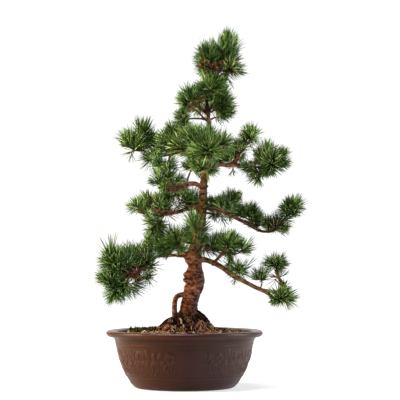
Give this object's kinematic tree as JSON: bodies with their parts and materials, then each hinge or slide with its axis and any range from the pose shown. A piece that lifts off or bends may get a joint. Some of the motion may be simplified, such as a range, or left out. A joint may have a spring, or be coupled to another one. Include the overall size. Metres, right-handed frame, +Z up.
{
  "type": "scots pine bonsai",
  "caption": "Scots pine bonsai with a reddish flaky-barked trunk, open tiers of bent limbs and tufts of paired green needles, planted in a round brown stoneware pot.",
  "frame": {"origin": "centre of the flat underside of the pot, on the surface it stands on", "axes": "+Z up along the pot's axis, -Y towards the tree's front as a viewer sees it, +X to the viewer's right"},
  "size_m": [0.3685, 0.2763, 0.6274],
  "materials": {
    "pot": "satin unglazed brown stoneware with a low relief band",
    "drain_screen": "matte",
    "soil": "crumbly, matte, with bark and straw debris",
    "moss": "soft, matte",
    "bark": "flaky plated bark, orange brown low down and greyer on twigs",
    "needles": "satin, waxy"
  },
  "bodies": {
    "root": {"pot": "pot", "drain_screen_1": "drain_screen", "drain_screen_2": "drain_screen", "drain_screen_3": "drain_screen", "soil": "soil", "moss": "moss", "trunk_roots_and_branches": "bark", "needles_apex": "needles", "needles_apex_right": "needles", "needles_apex_left": "needles", "needles_crown_front": "needles", "needles_shoulder_up": "needles", "needles_top_right": "needles", "needles_shoulder": "needles", "needles_inner_left_high": "needles", "needles_far_left_high": "needles", "needles_left_dark": "needles", "needles_left_low": "needles", "needles_left_front": "needles", "needles_inner_dark": "needles", "needles_front_big": "needles", "needles_front_left": "needles", "needles_front_low": "needles", "needles_inner_right": "needles", "needles_right_star": "needles", "needles_right_big": "needles", "needles_right_big_low": "needles", "needles_right_mid_front": "needles", "needles_right_mid_up": "needles", "needles_right_mid_b": "needles", "needles_right_mid_c": "needles", "needles_right_tip": "needles", "needles_left_mid": "needles", "needles_left_mid_in": "needles", "needles_inner_mid_dark": "needles", "needles_left_down": "needles", "needles_left_low_back": "needles", "needles_low_left_rise": "needles", "needles_front_fan": "needles", "needles_right_low_dark": "needles", "needles_right_low": "needles", "needles_right_low_star": "needles", "needles_right_spur": "needles", "needles_right_end_up": "needles", "needles_right_end": "needles", "needles_low_left_up": "needles", "needles_low_left_tip": "needles", "needles_low_left_in": "needles", "needles_low_left_out": "needles", "needles_low_left_end": "needles", "needles_back_high": "needles", "needles_back_mid": "needles", "needles_back_right": "needles", "needles_back_left": "needles", "needles_back_low_right": "needles", "needles_back_low_left": "needles", "needles_back_base_left": "needles", "needles_back_base_right": "needles", "needles_back_midleft": "needles"}
  },
  "joints": []
}
